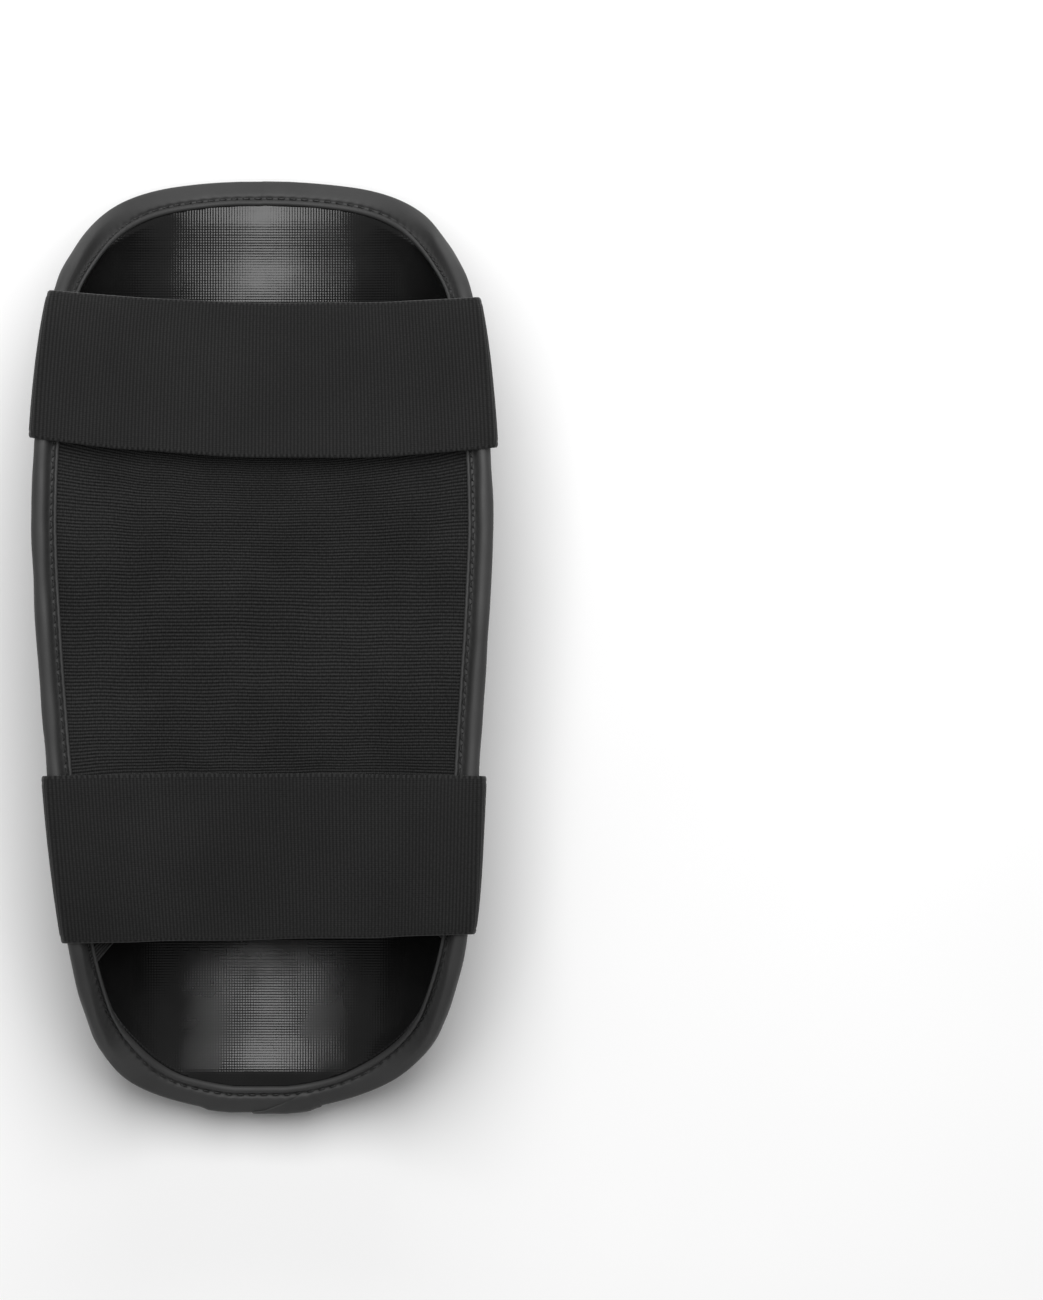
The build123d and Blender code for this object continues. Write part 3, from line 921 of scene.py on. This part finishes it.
# ---- straps
STRAP_RIB_HEIGHT = 0.17
SELVEDGE_WIDTH = 2.1
HEM_LENGTH = 9.0
HEM_HEIGHT = 0.35
# how far in from the rims a strap begins to hang free
STRAP_REST_INSET = 13.0
# over each rim: out from its edge, and up from it by a share of half the thickness plus a clearance
STRAP_OVER_LEFT = (
    (-9.0, 1.0, STRAP_RIM_GAP - 0.45), (-4.0, 1.0, STRAP_RIM_GAP + 0.15), (-1.0, 0.8, 0.25),
    (STRAP_THICKNESS / 2 - 0.1, 0.0, -3.2),
)
STRAP_OVER_RIGHT = (
    (-8.5, 1.0, STRAP_RIM_GAP - 0.35), (-3.5, 1.0, STRAP_RIM_GAP + 0.15), (-0.5, 0.8, 0.35),
    (STRAP_THICKNESS / 2 + 0.45, 0.0, -3.2),
)
# down each wall: along it from the rim, and clear of it
STRAP_DOWN_LEFT = ((13.0, 0.1), (28.0, 0.15), (ROOT_LENGTH, 0.2))
STRAP_DOWN_RIGHT = ((9.0, 0.8), (18.0, 1.2), (28.0, 1.3), (39.0, 1.3), (TAB_DROP, 1.3))


class Strap:
    """One elastic strap: sewn to the left wing, over both rims, free end down the right wing.

    Places on it are t, along its length, and v, across its width, both in millimetres."""

    def __init__(self, name):
        self.name = name
        self.knee_y, self.ankle_y = STRAPS[name]
        self.half = (self.knee_y - self.ankle_y) / 2
        self.middle = (self.knee_y + self.ankle_y) / 2
        self.columns = 47
        edge = np.linspace(-1, 1, self.columns)
        self.v = self.half * (1.25 * edge - 0.25 * edge ** 3)
        lengths = [travelled(self.path(v, 400))[-1] for v in (-self.half, 0.0, self.half)]
        self.length = float(np.mean(lengths))
        self.ribs = int(round(self.length / RIB_STEP))
        self.rows = self.ribs * SAMPLES_PER_RIB + 1
        self.t = np.linspace(0.0, self.length, self.rows)
        self.points = np.stack([self.path(v, self.rows) for v in self.v], 1)
        along = np.gradient(self.points, axis=0)
        across = np.gradient(self.points, axis=1)
        self.normals = unit(np.cross(along, across))

    def along_guard(self, x, v):
        """Place along the guard of a point of the strap, from how far across the guard it is."""
        share = np.clip(x / STRAP_REACH, -1.0, 1.0)

        def bend(values):
            left, centre, right = values
            return centre + (right - left) / 2 * share + ((left + right) / 2 - centre) * share ** 2

        return self.middle + bend(STRAP_LIE[self.name]) + v / self.half * bend(STRAP_HALF_WIDTHS[self.name])

    def path(self, v, count):
        """Middle of the webbing along its length, at a place across its width."""
        half = STRAP_THICKNESS / 2
        lean_x, lean_z = math.cos(WALL_TURN), math.sin(WALL_TURN)

        def side(x, over_rim, down_wall):
            """Route over one rim and down the wall, and how far out and how high it starts."""
            y = self.along_guard(x, v)
            z = float(rim_z(y))
            edge = float(wall_x(y, OUTER_DEPTH, z))
            route = [(edge + out, z + half * share + up) for out, share, up in over_rim]
            for along, off in down_wall:
                off += half
                route.append((edge - lean_x * along + lean_z * off, z - lean_z * along - lean_x * off))
            return route, edge - STRAP_REST_INSET, z + STRAP_RIM_GAP + half

        left, left_x, left_z = side(-STRAP_REACH, STRAP_OVER_LEFT, STRAP_DOWN_LEFT)
        right, right_x, right_z = side(STRAP_REACH, STRAP_OVER_RIGHT, STRAP_DOWN_RIGHT)
        left_z, right_z = left_z - 1.2, right_z - 1.1
        sag_z = float(self.sag_height(v))
        middle = []
        for share in np.linspace(-1.0, 1.0, 9):
            reach, end_z = (left_x, left_z) if share < 0 else (right_x, right_z)
            middle.append((reach * share, sag_z + (end_z - sag_z) * abs(share) ** 2.2))
        curve = spline([(-x, z) for x, z in left[::-1]] + middle + right, count)
        edge = right_x + STRAP_REST_INSET
        x = curve[:, 0]
        inside = smooth((edge - 16 - np.abs(x)) / 20.0)
        swing = 0.30 * ripple(x, v, 60.0, 41)
        lift = 0.45 * ripple(x, v, 48.0, 43)
        y = self.along_guard(x, v) + swing * inside
        return np.stack([x + sway(y), y, curve[:, 1] + lift * inside], -1)

    def sag_height(self, v):
        """Height of the webbing over the centre line."""
        ends = [float(rim_z(y)) for y in (self.ankle_y, self.knee_y)]
        level = ends[0] + (ends[1] - ends[0]) * (v / self.half + 1) / 2
        return level + STRAP_RIM_GAP + STRAP_THICKNESS / 2 - STRAP_SAG

    def surface(self, t, v, height):
        """Points above the webbing, at places along and across it."""
        t, v = np.broadcast_arrays(np.asarray(t, float), np.asarray(v, float))
        row = np.clip(t / self.length, 0, 1) * (self.rows - 1)
        low = np.minimum(row.astype(int), self.rows - 2)
        row_share = (row - low)[..., None]
        column = np.interp(v, self.v, np.arange(self.columns))
        left = np.minimum(column.astype(int), self.columns - 2)
        share = (column - left)[..., None]

        def sample(grid):
            near = grid[low, left] * (1 - share) + grid[low, left + 1] * share
            far = grid[low + 1, left] * (1 - share) + grid[low + 1, left + 1] * share
            return near * (1 - row_share) + far * row_share

        normal = unit(sample(self.normals))
        return sample(self.points) + normal * np.asarray(height)[..., None], normal

    def webbing(self, name, first, last, hem):
        """Closed piece of ribbed webbing between two rows of the strap's own grid, with one hem."""
        rows = slice(first, last + 1)
        points, normals = self.points[rows], self.normals[rows]
        t = self.t[rows][:, None]
        v = self.v[None, :]
        rib = np.abs(np.sin(math.pi * t * self.ribs / self.length))
        inside = smooth((self.half - SELVEDGE_WIDTH - np.abs(v)) / 0.5)
        rounding = np.sqrt(np.clip(1.0 - ((np.abs(v) / self.half) ** 30), 0.0, 1.0))
        zigzag = np.sin(math.pi * t / RIB_PITCH + math.pi * (np.abs(v) > self.half - 1.0))
        groove = np.exp(-((self.half - SELVEDGE_WIDTH - 0.2 - np.abs(v)) / 0.45) ** 2)
        selvedge = (0.10 + 0.07 * zigzag) * (1 - inside) - 0.16 * groove
        thick = STRAP_THICKNESS / 2 - 0.22 + STRAP_RIB_HEIGHT * rib * inside + selvedge
        start, end = hem
        thick = thick + HEM_HEIGHT * smooth((t - start) / 0.8) * smooth((end + 0.8 - t) / 0.8)
        thick = thick * (0.25 + 0.75 * rounding)
        upper = points + normals * thick[..., None]
        lower = points - normals * thick[..., None]
        ring = np.concatenate([upper, lower[:, ::-1]], 1)
        uv_upper = np.stack(
            np.broadcast_arrays(t * self.ribs / self.length * MM, v / self.half * CLOTH_HALF), -1
        )
        uv = np.concatenate([uv_upper, uv_upper[:, ::-1]], 1)
        return tube_piece(name, ring, uv, 70.0)

    def slab(self, name, start, end, half, near, far):
        """Thin patch on one face of the webbing."""
        t, v = np.meshgrid(np.linspace(start, end, 24), np.linspace(-half, half, 20), indexing="ij")
        edge = np.minimum.reduce([t - start, end - t, half - np.abs(v)])
        soften = 0.4 + 0.6 * smooth(edge / 0.8)
        outer, _ = self.surface(t, v, near + (far - near) * soften)
        inner, _ = self.surface(t, v, near + 0 * t)
        return sheet_piece(name, outer, inner)


def joint(name):
    """One joint of the frame, by name."""
    return next(entry for entry in frame["joints"] if entry["name"] == name)


def across_joint(entry, before, after, direction):
    """Two points either side of a joint's place, along a direction."""
    middle = Vector(entry["pos_m"])
    return tuple(middle - direction * before * MM), tuple(middle + direction * after * MM)


def wall_patch(name, strap, side, seed):
    """Patch under a strap on the outside of a wing, a little crowned, with soft edges."""
    rows, columns = ((40, 34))
    y_low, y_high = strap.ankle_y - PATCH_MARGIN, strap.knee_y + PATCH_MARGIN
    y, inset = np.meshgrid(
        np.linspace(y_low, y_high, rows), np.linspace(PATCH_START, PATCH_END, columns), indexing="ij"
    )
    s = side * (rim_around(y) - inset)
    edge = np.minimum.reduce([y - y_low, y_high - y, inset - PATCH_START, PATCH_END - inset])
    crown = PATCH_THICKNESS * (0.35 + 0.65 * smooth(edge / 1.2))
    top = place(y, s, COVER_DEPTH + crown + 0.05 * ripple(y, s, 9.0, seed) * smooth(edge / 4))
    under = place(y, s, COVER_DEPTH - 0.3)
    return sheet_piece(name, top, under)


def make_strap(name):
    strap = Strap(name)
    middle_row = strap.rows // 2
    swing = joint(name + "_strap_swing")
    closure = joint(name + "_strap_closure")
    axis = Vector(swing["axis"])
    inwards = axis.cross(Vector((0, 0, 1))).normalized()
    if inwards.x < 0:
        inwards = -inwards
    hook_start = strap.length - TAB_LENGTH + HOOK_START
    hook_end = strap.length - TAB_LENGTH + HOOK_END

    sewn = strap.webbing(name + "_strap_sewn_half", 0, middle_row, (0.0, HEM_LENGTH))
    start, end = across_joint(swing, 5.0, 10.0, inwards)
    finish_piece(sewn, "strap_elastic", (GUARD, name + "_strap", start, end), name + "_strap_root")

    hem = (strap.length - HEM_LENGTH, strap.length + 5.0)
    free = strap.webbing(name + "_strap_free_half", middle_row, strap.rows - 1, hem)
    down = Vector((4.0, 0.0, -16.0))
    bend_axis = Vector(closure["axis"])
    down = (down - bend_axis * down.dot(bend_axis)).normalized()
    start, end = across_joint(closure, 4.0, 12.0, down)
    finish_piece(
        free, "strap_elastic", (name + "_strap", name + "_tab", start, end),
        name + "_strap_band", name + "_strap_tab"
    )

    hook = strap.slab(
        name + "_hook_tape", hook_start, hook_end, strap.half - PATCH_MARGIN,
        -STRAP_THICKNESS / 2 + 0.1, -STRAP_THICKNESS / 2 - PATCH_THICKNESS
    )
    finish_piece(hook, "hook_tape", name + "_tab", name + "_hook_patch")

    loop_patch = wall_patch(name + "_loop_tape", strap, 1.0, 51)
    finish_piece(loop_patch, "loop_tape", GUARD, name + "_loop_patch")
    anchor = wall_patch(name + "_anchor_leather", strap, -1.0, 53)
    finish_piece(anchor, "cover_leather", GUARD, name + "_anchor_patch")
    make_strap_stitches(strap, hook_start, hook_end)


def stitch_path(strap, corners, height):
    """Line over the webbing through corners given as places along and across it."""
    line, up = [], []
    for (t0, v0), (t1, v1) in zip(corners, corners[1:]):
        count = max(int(math.hypot(t1 - t0, v1 - v0) / 0.8), 2)
        share = np.linspace(0, 1, count)
        points, normals = strap.surface(t0 + (t1 - t0) * share, v0 + (v1 - v0) * share, height)
        line.append(points)
        up.append(normals)
    return np.concatenate(line), np.concatenate(up)


def make_strap_stitches(strap, hook_start, hook_end):
    """Boxed cross on the sewn end, and a row round the hook patch."""
    face = STRAP_THICKNESS / 2 + 0.05
    edge = strap.half - 4.0
    near, far = 4.0, 27.0
    box = [(near, -edge), (near, edge), (far, edge), (far, -edge), (near, -edge), (far, edge)]
    cross = [(far, -edge), (near, edge)]
    half = strap.half - PATCH_MARGIN - HOOK_SEAM_INSET
    first, last = hook_start + HOOK_SEAM_INSET, hook_end - HOOK_SEAM_INSET
    ring = [(first, -half), (last, -half), (last, half), (first, half), (first, -half)]
    for name, corners, height, seam, body in (
        ("_anchor_stitches", box, face + 0.12, STRAP_SEAM, GUARD),
        ("_anchor_cross", cross, face + 0.12, STRAP_SEAM, GUARD),
        ("_hook_stitches", ring, face, HOOK_SEAM, strap.name + "_tab"),
    ):
        sewing(strap.name + name, *stitch_path(strap, corners, height), seam, body)


# ---- shin side
def rounded_outline(inset):
    """Plan outline of the front pad as points (x, y), starting at the middle of the knee end."""
    radius = PAD_CORNER_RADIUS - inset
    knee, ankle = PAD_KNEE_Y - inset, PAD_ANKLE_Y + inset
    knee_x = PAD_KNEE_HALF_WIDTH - inset - radius
    ankle_x = PAD_ANKLE_HALF_WIDTH - inset - radius + 0.8
    half = [(0.0, knee)]
    for x, y, turns in ((knee_x, knee - radius, (90, 0)), (ankle_x, ankle + radius, (0, -90))):
        for angle in np.radians(np.linspace(*turns, 16)):
            half.append((x + radius * math.cos(angle), y + radius * math.sin(angle)))
    half = np.array(half + [(0.0, ankle)])
    return np.concatenate([half, half[-2:0:-1] * [-1, 1]])


def pad_loop(inset, spacing):
    """The front pad's outline on the gutter."""
    outline = rounded_outline(inset)
    closed = even(np.concatenate([outline, outline[:1]]), 900)[:-1]
    s = around_at(closed[:, 1], np.abs(closed[:, 0]), COVER_DEPTH, 0) * np.sign(closed[:, 0])
    return Loop(closed[:, 1], s, spacing)


pad_rim = pad_loop(0.0, LOOP_SPACING)
pad_spine = np.clip(pad_rim.y * 0.8, -104.0, 106.0)


def pad_inset(y, s):
    """Rough distance in from the front pad's outline."""
    share = (y - PAD_ANKLE_Y) / (PAD_KNEE_Y - PAD_ANKLE_Y)
    half = PAD_ANKLE_HALF_WIDTH + (PAD_KNEE_HALF_WIDTH - PAD_ANKLE_HALF_WIDTH) * share
    return np.minimum(half - np.abs(s) * 0.93, np.minimum(PAD_KNEE_Y - y, y - PAD_ANKLE_Y))


def pad_depth(y, s):
    """Crown of the front pad, with a sewn channel on each side of the ridge."""
    inset = pad_inset(y, s)
    crown = 0.9 * smooth(inset / 18.0) + 0.25 * ripple(y, s, 38.0, 61)
    beside = np.abs(s) - PAD_CHANNEL
    channel = 2.2 * np.exp(-(beside / 1.7) ** 2) * smooth((inset - 5.0) / 8.0)
    return PAD_DEPTH - 0.9 + crown - channel


def make_front_pad():
    profile = [
        (0.5, COVER_DEPTH), (-0.2, 6.5), (-0.6, 8.2), (-0.7, 10.0), (-0.3, 11.8), (0.8, 13.3), (2.4, 14.3),
        (4.4, 14.55), (5.3, 14.2), (6.0, 14.05), (6.8, 14.3), (8.5, 14.75),
    ]
    rings = 46
    under = level(COVER_DEPTH + 0.3)
    piece = filled_loop("front_pad_skin", pad_rim, profile, pad_spine, rings, pad_depth, under)
    finish_piece(piece, "cover_leather", GUARD, "front_cover", "front_foam")
    line, up = pad_rim.at(6.0, 14.15), pad_rim.outward(6.0)
    sewing("front_pad_stitches", closed(line), closed(up), PAD_SEAM)
    for side, name in ((-1.0, "left"), (1.0, "right")):
        y = np.linspace(-116.0, 120.0, 240)
        s = np.full(y.shape, side * PAD_CHANNEL)
        line = place(y, s, pad_depth(y, s) + 0.05)
        sewing("front_channel_stitches_" + name, line, outward(y, s), PAD_SEAM)
    make_welt()


def make_welt():
    """Corded welt round the foot of the front pad."""
    loop = pad_loop(-1.6, LOOP_SPACING)
    rows = []
    radius = 1.35
    for turn in np.linspace(0, 2 * math.pi, 12, endpoint=False):
        wobble = 0.05 * ripple(loop.along, 0.0, 12.0, 71)
        rows.append(loop.at((radius + wobble) * math.cos(turn), COVER_DEPTH + 1.25 + radius * math.sin(turn)))
    piece = ring_piece("front_piping", rows, 60.0)
    finish_piece(piece, "binding_tape", GUARD, "front_welt")


def make_ridge():
    """Padded bar along the shin, flat where the guard lies on it."""
    straight = RIDGE_HALF_LENGTH - RIDGE_HALF_WIDTH
    angles = np.radians(np.linspace(180, 0, 40))
    half_top = [(RIDGE_HALF_WIDTH * math.cos(a), straight + RIDGE_HALF_WIDTH * math.sin(a)) for a in angles]
    half_bottom = [(-x, -y) for x, y in half_top]
    outline = np.array(half_top + half_bottom + half_top[:1])
    count = 480
    points = even(outline, count + 1)[:-1]
    nearest = np.stack([0 * points[:, 0], np.clip(points[:, 1], -straight, straight)], -1)
    out = (points - nearest) / RIDGE_HALF_WIDTH
    along = np.arange(count) * travelled(outline)[-1] / count

    def row(grow, z):
        plan = nearest + out * np.reshape(RIDGE_HALF_WIDTH + grow, (-1, 1))
        return np.stack([plan[:, 0], plan[:, 1], z + 0 * plan[:, 0]], -1)

    lumps = 0.12 * ripple(along, 0.0, 16.0, 81)
    profile = (
        (3.0, -11.5), (3.6, -14.9), (3.7, -15.9), (3.0, -16.9), (2.3, -17.4), (2.1, -17.9), (2.3, -18.6),
        (2.2, -19.7), (1.5, -21.0), (0.4, -22.0), (-1.0, -22.42), (-2.6, -RIDGE_DEPTH), (-5.0, -RIDGE_DEPTH),
    )
    rows = [row(grow + lumps * (grow > -0.5), z) for grow, z in profile]
    for share in np.linspace(0, 1, 12)[1:]:
        rows.append(row(-5.0 - (RIDGE_HALF_WIDTH - 5.2) * share, -RIDGE_DEPTH))
    rows.append(row(-RIDGE_HALF_WIDTH + 0.2, -11.5))
    piece = ring_piece("ridge_skin", rows, 50.0)
    finish_piece(piece, "cover_leather", GUARD, "ridge_cover", "ridge_foam")
    line = row(2.15, -17.75)
    up = unit(np.stack([out[:, 0], out[:, 1], -0.35 + 0 * out[:, 0]], -1))
    sewing("ridge_stitches", closed(line), closed(up), PAD_SEAM)


# ---- hidden CAD pieces
def dress_hidden_plate():
    """The stiff plate inside the front pad keeps its CAD shape."""
    plate = bpy.data.objects["front_plate"]
    for slot in plate.material_slots:
        slot.material = MATERIALS["plate_plastic"]


# ---- room, light and camera
VIEW_HEIGHT = 0.4745
LENS = 1000.0
SENSOR = 36.0
VIEW_PLANE = 0.055
CAMERA_ASIDE = 0.09435


def floor_material():
    recipe = Recipe("floor")
    recipe.colour(recipe.noise(recipe.coordinates(), 6.0, 2.0), 0.93, 0.95)
    recipe.set(Roughness=0.75)
    return recipe.material


def make_floor():
    bpy.ops.mesh.primitive_plane_add(size=12.0, location=(0, 0, 0))
    plane = bpy.context.object
    plane.name = "floor"
    plane.data.materials.append(floor_material())


def area_light(name, place_at, target, size, power):
    data = bpy.data.lights.new(name, "AREA")
    data.shape = "RECTANGLE"
    data.size, data.size_y = size
    data.energy = power
    lamp = add_object(name, data)
    lamp.location = place_at
    lamp.rotation_euler = (Vector(target) - Vector(place_at)).to_track_quat("-Z", "Y").to_euler()


def make_light():
    world = bpy.data.worlds.new("studio")
    world.use_nodes = True
    background = world.node_tree.nodes["Background"]
    background.inputs["Color"].default_value = (1.0, 1.0, 1.0, 1.0)
    background.inputs["Strength"].default_value = 0.26
    bpy.context.scene.world = world
    area_light("softbox", (0.0, 0.62, 1.65), (0, 0.12, 0.05), (0.95, 1.5), 30.0)
    area_light("head_light", (0.1, 2.0, 1.2), (0, 0.1, 0.05), (1.2, 0.5), 9.0)
    bpy.context.scene.view_settings.view_transform = "Standard"


def make_camera():
    data = bpy.data.cameras.new("camera")
    data.lens = LENS
    data.sensor_width = SENSOR
    data.clip_end = 100.0
    camera = add_object("camera", data)
    distance = VIEW_HEIGHT * LENS / SENSOR
    camera.location = (ORIGIN[0] + CAMERA_ASIDE, ORIGIN[1], VIEW_PLANE + distance)
    bpy.context.scene.camera = camera


make_camera()
make_gutter()
make_binding()
make_binding_stitches()
make_binding_fold()
make_calf_panel()
for strap_name in STRAPS:
    make_strap(strap_name)
make_front_pad()
make_ridge()
dress_hidden_plate()
make_floor()
make_light()
